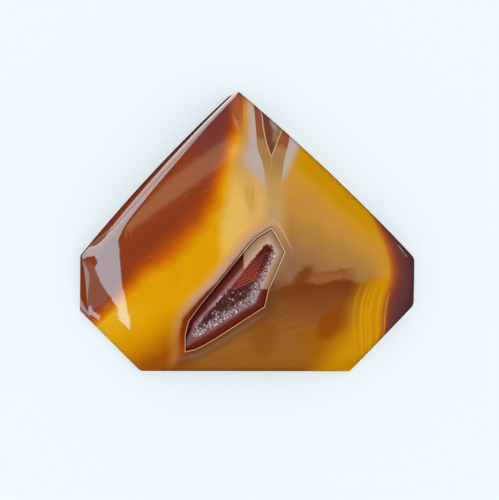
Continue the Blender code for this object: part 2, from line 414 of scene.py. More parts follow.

# Right of the crescent: peach to tan chalcedony, the tan with a painted reflection of the
# sky's haze; under its ragged horizon, the upper of two low edges, the painted reflection
# fades in a darker band with a dark shape, and darker layers lie under the lower edge.
PEACH_EDGE = ((-20, -10.0), (-14, -9.5), (-10, -8.0), (-6, -6.4), (-3, -5.6), (-1, -5.8),
              (2.5, -5.8), (5, -4.9), (8, -4.1), (10, -3.5), (12, -2.9), (14, -2.4), (18, -1.8))
PEACH_STOPS = ((-6.5, (232, 182, 66)), (-3.5, (231, 184, 92)), (0.0, (221, 170, 98)),
               (3.0, (200, 150, 84)))
PEACH_TOP = (202, 150, 84)
# Tan: the stone's colour with a painted reflection of the sky's haze over it.
TAN_AND_SKY_SHEEN_STOPS = ((-5.0, (148, 103, 70)), (-3.0, (160, 113, 66)), (-1.5, (169, 120, 64)),
             (0.0, (178, 127, 60)), (1.5, (187, 133, 58)), (3.0, (197, 140, 58)), (6.0, (206, 147, 50)))
# The upper edge is the horizon of the painted reflection, the lower edge the top of the foot.
UPPER_EDGE = ((1.0, -7.4), (4.6, -6.1), (5.4, -5.3), (6.7, -4.4), (7.4, -5.1), (9.7, -5.05),
              (11.5, -4.8), (15.0, -4.7))
LOWER_EDGE = ((0.5, -8.4), (2.2, -7.9), (4.3, -7.2), (6.1, -6.8), (8.5, -6.95), (10.6, -6.5),
              (13.1, -6.4), (14.6, -6.7), (16.2, -6.2), (18.4, -6.0))
# Painted reflection fading under its horizon: a darker band, and a lighter streak in it.
FADING_SKY_SHEEN = (147, 86, 36)
FADING_SKY_SHEEN_LIGHTER = (156, 98, 52)
FOOT_STOPS = ((-19.0, (151, 93, 27)), (-16.0, (152, 95, 32)), (-13.0, (148, 90, 34)),
              (-11.5, (141, 83, 34)), (-10.0, (135, 77, 32)), (-8.5, (126, 67, 25)), (-7.0, (118, 60, 19)))
FOOT_STREAK = (166, 108, 46)
FOOT_DARK = (132, 74, 14)
FOOT_DARK_PATCH = ((0.6, -14.2), (1.9, 2.6), 0, 0.5)
FOOT_AMBER = (160, 93, 8)
RUSSET = (142, 69, 5)
RUSSET_PATCH = ((10.7, -12.4), (2.9, 1.9), 40, 0.3)
# A dark shape in the painted reflection, standing at its horizon.
DARK_REFLECTION = (122, 62, 22)
DARK_REFLECTION_HEAD = ((6.1, -6.0), (2.0, 0.8), 48, 0.5)
DARK_REFLECTION_TAIL = ((4.0, -7.9), (2.6, 0.8), 14, 0.6)

# The gold rim along the upper right side and inside the right end, and the maroon end.
GOLD = (205, 140, 4)
GOLD_HAZE = (204, 145, 42)
GOLD_SIDE = ((-2.55, 19.95), (23.90, -3.35))
GOLD_STOPS = ((0.0, (200, 138, 4)), (2.0, (202, 140, 4)), (2.6, (204, 142, 14)), (3.3, (206, 146, 38)),
              (4.2, (201, 142, 48)), (5.5, (196, 139, 58)), (7.5, (186, 133, 62)))
GOLD_FOOT = ((-19.5, 8.2), (-17.5, 9.5), (-16.0, 10.5), (-14.5, 11.7), (-13.0, 13.0),
             (-11.5, 13.6), (-10.0, 13.9), (-8.5, 14.7), (-6.0, 15.4))
MAROON_EDGE = ((-18, 19.2), (-13.6, 18.6), (-12.4, 18.5), (-10.9, 18.6), (-9.5, 18.8),
               (-8.1, 19.2), (-6.6, 19.7), (-5.4, 19.9), (-4.2, 19.8), (-2.7, 19.4), (-1.1, 18.8),
               (0.3, 18.1), (4, 16.6))
MAROON_STOPS = ((-1.3, (202, 134, 26)), (-0.5, (180, 102, 30)), (0.1, (152, 76, 38)), (0.6, (126, 60, 44)),
                (1.3, (108, 57, 50)), (2.2, (96, 54, 52)), (4.5, (80, 45, 46)))
ORANGE_THREAD = (226, 148, 52)
GROWTH_LINES = ((-1.28, 0.10), (-2.46, 0.24), (-3.15, 0.06), (-3.79, 0.14), (-4.88, 0.12))
GROWTH_BRIGHT = (222, 164, 14)
GROWTH_DARK = (184, 114, 3)

# The crescent along the upper left side: brown, through orange, to clear yellow.
CRESCENT_START = (-23.85, -2.95)
CRESCENT_WAY = (0.681, 0.732)
CRESCENT_MIDDLE = ((-8, 6.4), (0, 6.8), (4, 7.0), (8, 7.9), (12, 7.9), (16, 7.4), (20, 5.9),
                   (24, 4.3), (27, 2.8), (32, 1.0))
CRESCENT_WIDTH = ((-8, 2.4), (0, 2.8), (4, 3.6), (9, 4.8), (14, 4.2), (20, 3.0), (24, 2.6), (32, 1.8))
CRESCENT_STOPS = ((0.0, (141, 59, 24)), (0.18, (152, 62, 22)), (0.38, (175, 74, 14)),
                  (0.58, (199, 98, 6)), (0.78, (217, 131, 0)), (1.0, (225, 156, 1)))
APEX_MAROON = (122, 56, 49)
CORNER_STOPS = ((-4.0, (230, 174, 24)), (-2.0, (226, 166, 14)), (-0.3, (221, 155, 2)),
                (0.6, (216, 147, 1)), (1.8, (204, 129, 1)), (3.0, (186, 108, 1)), (4.4, (163, 83, 6)),
                (6.0, (154, 82, 18)))

# The closed lines round the hollow, the band inside them, and the rust outside.
FORTIFICATION = (
    ((1.61, 0.75), (2.39, -0.37)),
    ((2.39, -0.37), (3.56, -2.54)),
    ((3.56, -2.54), (1.20, -7.75), (0.70, -10.01)),
    ((0.70, -10.01), (-6.09, -14.20)),
    ((-6.09, -14.20), (-7.60, -15.07)),
    ((-7.60, -15.07), (-9.00, -15.72)),
    ((-9.00, -15.72), (-10.36, -16.00)),
    ((-10.36, -16.00), (-10.35, -13.58)),
    ((-10.35, -13.58), (-9.90, -11.87)),
    ((-9.90, -11.87), (-8.25, -9.61)),
    ((-8.25, -9.61), (-1.47, -1.44)),
    ((-1.47, -1.44), (-0.45, -0.44)),
    ((-0.45, -0.44), (1.61, 0.75)),
)
HOLLOW_TIPS = ((-10.36, -16.00), (1.61, 0.75))
# A band inside the line: near black by the line on the left, red-brown on the lower right.
LEFT_INNER_BAND = ((0.0, (36, 10, 7)), (0.3, (56, 16, 12)), (0.7, (92, 34, 23)), (1.2, (108, 50, 36)),
               (1.6, (118, 64, 54)), (2.0, (126, 76, 68)))
LOWER_INNER_BAND = ((0.0, (82, 22, 14)), (0.15, (74, 18, 13)), (0.35, (98, 28, 18)),
                (0.9, (108, 42, 32)), (1.4, (122, 68, 62)))
# Upper right of the hollow: tan with a painted reflection of the sky's haze, ending at the haze's horizon;
# the fringe and the right side by the line carry it too.
INNER_TAN_AND_SKY_SHEEN = ((0.0, (104, 76, 56)), (0.15, (138, 106, 78)), (0.5, (164, 127, 96)),
              (0.9, (176, 136, 110)), (1.3, (188, 152, 128)))
SKY_SHEEN_END = (-2.3, -7.6)
FRINGE_WITH_SKY_SHEEN = (196, 166, 146)
LILAC_FRINGE = (156, 122, 122)
DARK_LINE = (48, 18, 12)
PALE_LINE_UPPER = (216, 186, 150)
PALE_LINE_LOWER = (214, 140, 98)
PALE_LINE_LEFT = (158, 116, 100)
RUST_WIDTH = ((-18, 0.4), (-15.5, 0.55), (-13, 0.6), (-11, 0.6), (-9.5, 0.45), (-8, 0.3),
              (-6.5, 0.05), (-4, 0.0))
RUST_STOPS = ((-16.5, (166, 82, 16)), (-13.5, (132, 50, 8)), (-11.0, (124, 44, 10)),
              (-8.0, (102, 36, 16)), (-6.0, (70, 24, 12)))
HALO_STOPS = ((0.0, (128, 64, 38)), (0.3, (186, 134, 102)), (0.6, (197, 155, 122)), (0.9, (202, 156, 120)),
              (1.25, (212, 156, 102)), (1.9, (218, 162, 60)))
LOW_HALO_STOPS = ((0.0, (143, 68, 20)), (0.3, (172, 108, 56)), (0.6, (194, 132, 80)), (1.0, (203, 144, 66)),
                  (1.9, (212, 152, 30)))
OUTER_LINE = (205, 164, 126)
RIGHT_SKY_SHEEN = (160, 118, 84)
LOW_HAZE = (108, 64, 34)
LOW_LINE = (140, 98, 82)

# The small nodule at the upper right side, its stem, and the grey veins beside them.
LEFT_FLANK = ((-1, 1.2), (5.7, 0.94), (7.2, 0.83), (9.4, 0.49), (10.8, 0.07), (12.1, -0.32),
              (13.6, -0.40), (17.0, -0.66))
RIGHT_FLANK = ((-1, 2.9), (5.1, 2.97), (7.0, 2.99), (8.2, 3.2), (10.2, 3.5), (11.4, 3.85),
               (13.1, 4.31), (16, 5.3))
LEFT_VEIN = ((6.0, 1.0), (6.6, 0.44), (7.65, -0.68), (9.35, -1.7), (13.5, -1.45), (17.5, -1.35))
RIGHT_VEIN = ((6.4, 3.1), (7.0, 3.38), (8.7, 4.05), (10.2, 4.72), (12.0, 5.59), (15.0, 7.1))
VEIN_GREY = (188, 172, 166)
LEFT_ARM = ((10.58, 1.71), (12.6, 0.99), (14.6, 0.60), (16.3, 0.43), (18, 0.3))
RIGHT_ARM = ((10.58, 1.70), (12.5, 2.46), (14.2, 3.20), (17, 4.4))
ARM_TIP = 10.5
ARM_LINE = (208, 172, 136)
ROOT_THREAD = (206, 140, 62)
NODULE_BROWN = (116, 64, 50)
NODULE_TAN = (146, 110, 78)
NODULE_GREY = (156, 136, 122)
NODULE_GREY_PATCH = ((2.1, 15.2), (0.45, 0.9), 20, 0.5)
STEM_STOPS = ((1.0, (186, 149, 106)), (4.5, (193, 154, 93)), (7.5, (187, 146, 82)),
              (10.0, (168, 126, 72)), (12.3, (172, 122, 74)), (12.9, (152, 86, 50)), (16.0, (148, 78, 52)))

# Small marks left of the nodule: name, colour, strength and patch.
SMALL_MARKS = (
    ("flame", (170, 90, 48), 0.85, ((-3.0, 17.3), (0.9, 3.2), 8, 0.8)),
    ("flame's pale edge", (208, 140, 96), 0.6, ((-3.25, 15.2), (0.16, 1.1), 22, 0.6)),
    ("gold streak", (210, 144, 50), 0.85, ((-1.95, 15.6), (0.24, 2.9), 3, 0.8)),
    ("eye", (206, 154, 66), 0.7, ((-1.35, 4.9), (0.75, 2.2), 6, 0.5)),
    ("eye's left lid", (170, 116, 52), 0.3, ((-1.95, 5.0), (0.06, 1.9), 16, 0.8)),
    ("eye's right lid", (176, 118, 52), 0.4, ((-1.05, 5.1), (0.08, 1.7), -4, 0.8)),
)

# Wear: two small chips at the right end, and scratches as (middle, half length, turn).
CHIP = (206, 178, 168)
LONG_CHIP = ((21.0, -2.0), (0.75, 0.07), -50, 0.5)
SHORT_CHIP = ((21.75, -2.9), (0.22, 0.10), -50, 0.5)
SCRATCH = (232, 176, 110)
SCRATCH_WIDTH = 0.04
SCRATCHES = (((-7.4, 5.9), 0.9, 22), ((-6.2, 7.2), 0.6, 18), ((-10.4, 5.0), 0.5, 35),
             ((-15.5, -3.2), 0.8, 20), ((-12.6, -8.4), 0.9, 8), ((-8.6, 1.2), 0.7, 30))
CLOUD = (70, 30, 8)


def across(x, y, start, end):
    """Distance from the line through two places, positive on the left of the way."""
    way_x, way_y = end[0] - start[0], end[1] - start[1]
    length = math.hypot(way_x, way_y)
    offset = (start[0] * way_y - start[1] * way_x) / length
    return y * (way_x / length) - x * (way_y / length) + offset


def patch(x, y, middle, radii, turn, softness):
    """1 inside a turned ellipse, fading to 0 about its edge."""
    cos, sin = math.cos(math.radians(turn)), math.sin(math.radians(turn))
    from_x, from_y = x - middle[0], y - middle[1]
    along = (from_x * cos + from_y * sin) / radii[0]
    aside = (from_y * cos - from_x * sin) / radii[1]
    away = x.maths("SQRT", along * along + aside * aside)
    return away.rise(1 + softness, 1 - softness)


def outside(x, y, runs):
    """Distance outside a closed line of straight runs; a run may bend inward."""
    farthest = None
    for run in runs:
        nearest = None
        for start, end in zip(run, run[1:]):
            side = across(x, y, start, end)
            nearest = side if nearest is None else nearest.least(side)
        farthest = nearest if farthest is None else farthest.most(nearest)
    return farthest


stone_finish = bpy.data.materials.new("banded_agate")
stone_finish.use_nodes = True
stone_shader = stone_finish.node_tree.nodes["Principled BSDF"]
paint = Paint(stone_finish.node_tree)
metres = paint.add("TexCoord", output="Object")
spot = paint.add("VectorMath", {"operation": "SCALE"}, {0: metres, "Scale": 1 / MM})
x, y, z = [paint.add("SeparateXYZ", sockets={0: spot}, output=axis) for axis in "XYZ"]
x = x + (z - FACE_LEVEL) * LAYER_SLANT[0]
y = y + (z - FACE_LEVEL) * LAYER_SLANT[1]

sway = paint.add("TexNoise", {}, {"Vector": spot, "Scale": 0.16, "Detail": 2.0}, output="Color")
sway_x, sway_y, fine_sway = [paint.add("SeparateColor", sockets={0: sway}, output=part)
                             for part in range(3)]
soft_x = x + (sway_x - 0.5) * SWAY
soft_y = y + (sway_y - 0.5) * SWAY
wisp = paint.add("TexNoise", {}, {"Vector": spot, "Scale": 0.9, "Detail": 4.0})

# Chalcedony right of the crescent; the tan carries a painted reflection of the sky's haze.
tan = (soft_y + (soft_x - 6.5) * 0.5).ramp(TAN_AND_SKY_SHEEN_STOPS)
left_side = across(x, y, *HOLLOW_TIPS).rise(-0.6, 0.6)
peach = cover(soft_x.ramp(PEACH_STOPS), PEACH_TOP, soft_y.rise(4.0, 11.0))
colour = cover(tan, peach, soft_x.rise(4.6, 2.4) * soft_y.rise(-3.5, 1.0).most(left_side))
from_side = 0 - across(soft_x, soft_y, *GOLD_SIDE)
colour = cover(colour, from_side.ramp(GOLD_STOPS), from_side.rise(7.5, 3.0) * soft_x.rise(4.2, 6.4))

right_of_end = x - soft_y.follow(MAROON_EDGE)
colour = cover(colour, GOLD_HAZE, right_of_end.rise(-4.0, -1.4) * soft_y.rise(2.0, -2.5) * 0.8)
feather = paint.add("TexNoise", {}, {"Vector": spot, "Scale": 3.2, "Detail": 3.0, "Distortion": 0.6})
ragged_y = y + (wisp - 0.5) * 1.0 + (feather - 0.5) * 0.9
# Painted reflection: under its ragged horizon the haze fades to a darker band, with a lighter streak in it.
fading_sky_sheen = (x.follow(UPPER_EDGE) - ragged_y).rise(-0.15, 0.3) * soft_x.rise(15.0, 12.0) * x.rise(1.8, 4.4)
colour = cover(colour, FADING_SKY_SHEEN, fading_sky_sheen * 0.9)
fading_sky_sheen_lighter = (ragged_y - x.follow(UPPER_EDGE)).band(-1.1, 0.2, 0.3) * x.rise(6.6, 7.6) * x.rise(13.0, 11.0)
colour = cover(colour, FADING_SKY_SHEEN_LIGHTER, fading_sky_sheen_lighter * 0.6)

# The darker foot, gold towards the right.
foot = soft_y.ramp(FOOT_STOPS)
striation = y * 3.2 - x * 0.8 + (wisp - 0.5) * 2.5
streaks = paint.add("TexNoise", {"noise_dimensions": "1D"},
                    {"W": striation, "Scale": 0.8, "Detail": 1.0}, output=0)
foot = cover(foot, FOOT_STREAK, streaks.rise(0.5, 0.7) * soft_y.rise(-9.5, -12.5) * 0.35)
foot = cover(foot, FOOT_DARK, patch(soft_x, soft_y, *FOOT_DARK_PATCH) * 0.5)
foot = cover(foot, FOOT_AMBER, soft_x.rise(4.5, 8.5) * soft_y.rise(-12.0, -14.0))
foot = cover(foot, RUSSET, patch(soft_x, soft_y, *RUSSET_PATCH) * 0.85)
gold_share = (soft_x - soft_y.follow(GOLD_FOOT)).rise(-2.6, 2.6)
foot = cover(foot, GOLD, gold_share)
below_edge = (soft_x.follow(LOWER_EDGE) - ragged_y).rise(-0.25, 0.35)
colour = cover(colour, foot, below_edge.most(soft_x.rise(1.0, -1.0) * soft_y.rise(-7.0, -10.0)))
# A dark shape in the painted reflection, standing at its horizon.
dark_reflection = patch(x, ragged_y, *DARK_REFLECTION_HEAD).most(patch(x, ragged_y, *DARK_REFLECTION_TAIL) * 0.7)
colour = cover(colour, DARK_REFLECTION, dark_reflection * 0.9)

# Growth bands in the gold by the right end.
layer = paint.add("TexNoise", {"noise_dimensions": "1D"},
                  {"W": right_of_end + (fine_sway - 0.5) * 0.5, "Scale": 3.4, "Detail": 2.0}, output=0)
banding = right_of_end.rise(-6.0, -3.6) * right_of_end.rise(0.2, -0.2) * soft_y.rise(-6.2, -8.6)
colour = cover(colour, GROWTH_DARK, layer.rise(0.56, 0.36) * banding * 0.4)
bright = None
for offset, half_width in GROWTH_LINES:
    line = (right_of_end + (wisp - 0.5) * 0.25).band(offset, half_width * 0.6, 0.22)
    bright = line if bright is None else bright.most(line)
colour = cover(colour, GROWTH_BRIGHT, bright * banding * 0.5)

# The maroon right end, with an orange thread at its lower edge.
colour = cover(colour, right_of_end.ramp(MAROON_STOPS), right_of_end.rise(-1.3, -0.2))
thread = right_of_end.band(-0.05, 0.03, 0.14) * soft_y.rise(-7.5, -9.5)
colour = cover(colour, ORANGE_THREAD, thread * 0.6)

# The crescent.
from_x = soft_x - CRESCENT_START[0]
from_y = soft_y - CRESCENT_START[1]
along = from_x * CRESCENT_WAY[0] + from_y * CRESCENT_WAY[1]
inward = from_x * CRESCENT_WAY[1] - from_y * CRESCENT_WAY[0]
depth = (inward - along.follow(CRESCENT_MIDDLE)) / along.follow(CRESCENT_WIDTH) + 0.5
depth = depth + (wisp - 0.5) * 0.10
crescent = depth.ramp(CRESCENT_STOPS)
crescent = cover(crescent, APEX_MAROON, along.rise(17, 24) * depth.rise(0.4, -0.3))
corner = (soft_x * 0.62 - soft_y * 0.78).ramp(CORNER_STOPS)
crescent = cover(crescent, corner, depth.rise(0.75, 1.05) * soft_y.rise(-8.5, -11.5))
left_of_peach = soft_y.follow(PEACH_EDGE) - soft_x
colour = cover(colour, crescent, left_of_peach.rise(-1.2, 0.6))

# Round the hollow: halo and rust outside, a band inside that is darkest by the line on its left, and the
# line between them.
around = outside(x, y, FORTIFICATION)
past_rust = around + (wisp - 0.5) * 0.25 - y.follow(RUST_WIDTH)
halo_colour = cover(past_rust.ramp(LOW_HALO_STOPS), past_rust.ramp(HALO_STOPS), y.rise(-11.5, -7.5))
halo = past_rust.rise(2.3, 0.7) * left_side * (0.35 + y.rise(-15.0, -11.0) * 0.65)
colour = cover(colour, halo_colour, halo)
colour = cover(colour, y.ramp(RUST_STOPS), past_rust.rise(0.35, -0.1) * left_side)
outer_line = around.band(1.08, 0.04, 0.16) * (1 - left_side) * x.rise(5.2, 3.4) * y.rise(-4.2, -1.5)
colour = cover(colour, OUTER_LINE, outer_line * 0.75)
# Right of the hollow by the line, a painted reflection of the sky's haze.
right_sky_sheen = around.rise(1.2, 0.2) * (1 - left_side)
colour = cover(colour, RIGHT_SKY_SHEEN, right_sky_sheen * y.rise(-6.5, -4.5) * 0.6)
low_side = (1 - left_side) * y.rise(-5.5, -7.5)
colour = cover(colour, LOW_HAZE, around.rise(2.4, 0.4) * low_side * 0.8)
low_line = around.band(0.80, 0.06, 0.4) * (1 - left_side) * x.rise(2.0, -1.5)
colour = cover(colour, LOW_LINE, low_line * 0.55)

inside = 0 - around
inner_band = cover(inside.ramp(LOWER_INNER_BAND), inside.ramp(LEFT_INNER_BAND), left_side)
# Over the band's upper right end, tan with a painted reflection of the sky's haze, and a paler fringe with
# the same reflection.
sky_sheen_part = (x + (wisp - 0.5) * 0.3).rise(SKY_SHEEN_END[0] - 0.1, SKY_SHEEN_END[0] + 0.15)
sky_sheen_part = sky_sheen_part * y.rise(SKY_SHEEN_END[1] - 0.1, SKY_SHEEN_END[1] + 0.1)
inner_band = cover(inner_band, inside.ramp(INNER_TAN_AND_SKY_SHEEN), sky_sheen_part)
hollow_corners = [corner[:2] for corner in POCKET_CORNERS]
hollow_runs = list(zip(hollow_corners, hollow_corners[1:] + hollow_corners[:1]))
from_hollow = outside(x, y, hollow_runs) + (wisp - 0.5) * 0.35
fringe = cover(LILAC_FRINGE, FRINGE_WITH_SKY_SHEEN, sky_sheen_part)
tip_fringe = y.rise(-10.5, -13.0)
fringe_share = (left_side.most(sky_sheen_part) * 0.35 + 0.4) * (1 - tip_fringe * 0.35)
fringe_edge = (from_hollow - tip_fringe * 0.12).rise(0.45, 0.05)
inner_band = cover(inner_band, fringe, fringe_edge * fringe_share)
colour = cover(colour, inner_band, inside.rise(-0.03, 0.03))
dark_line = around.band(-0.14, 0.04, 0.08).most(around.band(0.14, 0.02, 0.08) * 0.8)
colour = cover(colour, DARK_LINE, dark_line * (0.3 + left_side * 0.5))
pale_line = cover(PALE_LINE_LOWER, PALE_LINE_UPPER, (y - x * 0.2).rise(-9.0, -4.0))
pale_line = cover(pale_line, PALE_LINE_LEFT, left_side * y.rise(-2.0, -4.0) * y.rise(-12.5, -10.5))
colour = cover(colour, pale_line, around.band(0.0, 0.035, 0.06))

# The nodule, its stem and the veins.
left_flank = y.follow(LEFT_FLANK)
right_flank = y.follow(RIGHT_FLANK)
vein_left = (soft_x - y.follow(LEFT_VEIN)).rise(-1.1, 0.9) * (left_flank - x).rise(-0.1, 0.1)
vein_left = vein_left * (y - (left_flank - x) * 0.9).rise(4.6, 8.6)
vein_right = (y.follow(RIGHT_VEIN) - x).rise(-0.6, 0.7) * (x - right_flank).rise(-0.1, 0.1)
vein_right = vein_right * y.rise(6.0, 8.8)
colour = cover(colour, VEIN_GREY, vein_left.most(vein_right) * 0.95)
crisp = y.rise(4.0, 9.0)
stem_left = (x - left_flank).rise(-0.07, 0.07) * crisp + (x - left_flank).rise(-0.8, 0.8) * (1 - crisp)
stem_right = (right_flank - x).rise(-0.07, 0.07) * crisp + (right_flank - x).rise(-0.7, 0.7) * (1 - crisp)
stem = stem_left * stem_right * around.rise(0.6, 1.3)
stem_colour = (y + (x - 1.5) * 0.35 + (wisp - 0.5) * 1.2).ramp(STEM_STOPS)
colour = cover(colour, stem_colour, stem * y.rise(0.2, 2.6))
arm_left = x - y.follow(LEFT_ARM)
arm_right = y.follow(RIGHT_ARM) - x
nodule = arm_left.rise(-0.04, 0.04) * arm_right.rise(-0.04, 0.04) * y.rise(ARM_TIP, ARM_TIP + 0.1)
nodule_right = (x - 1.75 - (y - 13.0) * 0.1).rise(-0.2, 0.35) * y.rise(12.0, 13.2)
nodule_colour = cover(NODULE_BROWN, NODULE_TAN, nodule_right)
nodule_colour = cover(nodule_colour, NODULE_GREY, patch(x, y, *NODULE_GREY_PATCH))
colour = cover(colour, nodule_colour, nodule)
arm_lines = arm_left.band(0.0, 0.035, 0.07).most(arm_right.band(0.0, 0.035, 0.07))
arm_lines = arm_lines * y.rise(ARM_TIP - 0.1, ARM_TIP + 0.1)
colour = cover(colour, ARM_LINE, arm_lines * stem)
root_thread = (x - 1.67).band(0.0, 0.02, 0.12) * y.band(9.7, 0.7, 0.4)
colour = cover(colour, ROOT_THREAD, root_thread * 0.8)

# The small marks, the wear, and a faint cloudiness over all.
for _, mark_colour, strength, place in SMALL_MARKS:
    colour = cover(colour, mark_colour, patch(x, y, *place) * strength)
above_back = z.rise(0.6, 1.4)
chips = patch(x, y, *LONG_CHIP).most(patch(x, y, *SHORT_CHIP))
colour = cover(colour, CHIP, chips * above_back * 0.7)
for middle, half_length, turn in SCRATCHES:
    scratch = patch(x, y, middle, (half_length, SCRATCH_WIDTH), turn, 0.8)
    colour = cover(colour, SCRATCH, scratch * above_back * 0.16)
cloud = paint.add("TexNoise", {}, {"Vector": spot, "Scale": 0.32, "Detail": 5.0})
colour = cover(colour, CLOUD, cloud.rise(0.6, 0.2) * 0.08)

stone_finish.node_tree.links.new(colour.socket, stone_shader.inputs["Base Color"])
stone_shader.inputs["Roughness"].default_value = POLISH_ROUGHNESS
stone_shader.inputs["IOR"].default_value = AGATE_IOR
stone.data.materials.append(stone_finish)
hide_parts("agate_stone")
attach(stone, "root")


# The crystal crust
# Fine quartz crystals line the hollow, thickest on its lower right wall. The sawn face
# cut the crust's edge through, and the hollow's upper end is bare, striped red agate.
CUT_RIM = 0.16
HOLLOW_WALL = 0.8
CRUST_RINGS = 64
CRUST_CROWDING = 1.6
CRUST_BOTTOM_RINGS = 8
CRUST_LIFT = 0.02
CRUST_LEAST = 0.05
LOWER_WALL = ((2.30, -2.50), (-0.75, -9.40), (-9.90, -14.75))

# The crystals: widths of those on the floor and on the lower right wall, how closely
# they stand, and the rows of smaller steps that fill the hollow's rim.
CRYSTAL_SIZES = (0.05, 0.11)
WALL_CRYSTAL_SIZES = (0.09, 0.20)
WALL_CRYSTALS = 1.25
CRYSTAL_SIDES = 6
CRYSTAL_ROOT = -0.8
CRYSTAL_SHOULDER = (0.3, 0.9)
SHOULDER_WIDTH = 0.95
CRYSTAL_TIP = (1.5, 2.1)
TIP_SHIFT = 0.2
CRYSTAL_SPACING = 0.15
CRYSTAL_SHUFFLE = 0.06
CRYSTAL_LEAN = 0.27
CRYSTAL_SEED = 11
RIM_ROWS = (0.0, 0.02, 0.06, 0.125, 0.225, 0.375, 0.55)
RIM_ROW_START = 0.06
RIM_CLEAR = 0.02
RIM_CRYSTALS_WIDTH = 0.14
RIM_CRYSTALS_TOP = -5.0
SLOPE_STEP = 0.02

# The bare floor, above a line between two places, with low stripes across it.
BARE_LINE = ((-5.0, -8.3), (-0.45, -6.8))
BARE_SOFTNESS = 0.3
BARE_GAP = 0.5
STRIPE_PITCH = 0.38
STRIPE_TURN = math.radians(24.0)
STRIPE_DEPTH = 0.035

CRYSTAL_ROUGHNESS = 0.32
QUARTZ_IOR = 1.55
BARE_RED = (158, 50, 36)
BARE_STRIPE = (196, 76, 54)
BARE_SHADE = (128, 40, 34)
CRUST_DARK = (108, 42, 34)
CRUST_LIGHT = (140, 74, 66)
CRUST_GLINT = (222, 200, 200)
WALL_DARK = (122, 66, 62)
# Pale lilac, partly a painted reflection of the window in the crystals' faces.
WALL_PALE_AND_SHEEN = (184, 150, 154)
WALL_GLINT = (255, 240, 238)
RIM_DARK = (122, 74, 70)
RIM_LIGHT = (186, 152, 156)
RIM_GLINT = (226, 206, 208)


def hollow_surface(places, from_rim):
    """Height of the crust's surface, given each place's distance from the hollow's rim."""
    wall = rounded_step((from_rim - CUT_RIM) / HOLLOW_WALL)
    return face_height(places) - CRUST_LIFT - HOLLOW_DEPTH * depth_share(places) * wall


def bare_part(places):
    """1 where the hollow's floor is bare of crystals."""
    start, end = np.array(BARE_LINE)
    way = (end - start) / np.linalg.norm(end - start)
    offset = places - start
    above = offset[..., 1] * way[0] - offset[..., 0] * way[1]
    return np.clip(above / BARE_SOFTNESS + 0.5, 0, 1)


def lower_gap(place):
    """Distance of one place inward from the hollow's lower right sides."""
    gaps = []
    for start, end in zip(LOWER_WALL, LOWER_WALL[1:]):
        way = np.array(end) - start
        offset = place - start
        gaps.append((offset[0] * way[1] - offset[1] * way[0]) / np.linalg.norm(way))
    return min(gaps)


def striped(places):
    """Low ridges that run across the bare floor."""
    across_stripes = places[..., 1] * math.cos(STRIPE_TURN) - places[..., 0] * math.sin(STRIPE_TURN)
    return np.cos(across_stripes * math.tau / STRIPE_PITCH) * STRIPE_DEPTH


def within(loop, place):
    """True where a place is inside a closed outline."""
    ahead = np.roll(loop, -1, axis=0)
    side = ahead - loop
    rise = np.where(side[:, 1] == 0, 1, side[:, 1])
    crossed = (loop[:, 1] > place[1]) != (ahead[:, 1] > place[1])
    crossed_at = loop[:, 0] + (place[1] - loop[:, 1]) * side[:, 0] / rise
    return (crossed & (crossed_at > place[0])).sum() % 2 == 1


def crust_body(rim):
    """The crust without its crystals, a closed sheet: surface, underside and their faces."""
    count = len(rim)
    rings = []
    for ring in range(CRUST_RINGS):
        loop = rim + (POCKET_MIDDLE - rim) * (ring / CRUST_RINGS) ** CRUST_CROWDING
        from_rim = distance_to(rim, loop)
        floor = np.clip(from_rim - CUT_RIM - HOLLOW_WALL / 2, 0, 1)
        height = hollow_surface(loop, from_rim) + striped(loop) * bare_part(loop) * floor
        rings.append(np.column_stack((loop, height)))
    centre = POCKET_MIDDLE[None]
    rings.append(np.column_stack((centre, hollow_surface(centre, distance_to(rim, centre)))))
    top = CRUST_RINGS * count
    faces = []
    for i in range(CRUST_RINGS - 1):
        faces += ring_faces(i * count, (i + 1) * count, count)[:, ::-1].tolist()
    faces += [(top - count + (i + 1) % count, top, top - count + i) for i in range(count)]

    first = top + 1
    for ring in range(CRUST_BOTTOM_RINGS):
        loop = rim + (POCKET_MIDDLE - rim) * (ring / CRUST_BOTTOM_RINGS) ** CRUST_CROWDING
        from_rim = distance_to(rim, loop)
        height = np.minimum(hollow_surface(loop, from_rim) - CRUST_LEAST,
                            pocket_surface(loop, from_rim) + CRUST_LIFT)
        rings.append(np.column_stack((loop, height)))
    rings.append(np.array([(*POCKET_MIDDLE, rings[-1][0][2])]))
    faces += ring_faces(0, first, count).tolist()
    for i in range(CRUST_BOTTOM_RINGS - 1):
        faces += ring_faces(first + i * count, first + (i + 1) * count, count).tolist()
    last = first + (CRUST_BOTTOM_RINGS - 1) * count
    faces += [(last + i, last + (i + 1) % count, last + count) for i in range(count)]
    return list(np.vstack(rings)), faces


def crystal_feet(rim, rng):
    """Places where crystals stand: an even field, and close rows along the rim."""
    low, high = rim.min(axis=0), rim.max(axis=0)
    feet = []
    for y_place in np.arange(low[1], high[1], CRYSTAL_SPACING):
        for x_place in np.arange(low[0], high[0], CRYSTAL_SPACING):
            feet.append((x_place, y_place))
    for place in rim:
        inward = (POCKET_MIDDLE - place) / np.linalg.norm(POCKET_MIDDLE - place)
        for row in RIM_ROWS:
            feet.append(place + inward * (CUT_RIM + RIM_ROW_START + row))
    feet = np.array(feet) + rng.uniform(-CRYSTAL_SHUFFLE, CRYSTAL_SHUFFLE, (len(feet), 2))
    feet = feet[np.array([within(rim, foot) for foot in feet])]
    from_rim = distance_to(rim, feet)
    by_wall = np.array([lower_gap(foot) for foot in feet]) < BARE_GAP
    by_rim = (from_rim < CUT_RIM + RIM_CRYSTALS_WIDTH) & (feet[:, 1] < RIM_CRYSTALS_TOP)
    grown = (bare_part(feet) < 0.5) | by_wall | by_rim
    return feet[(from_rim > CUT_RIM + RIM_CLEAR) & grown]


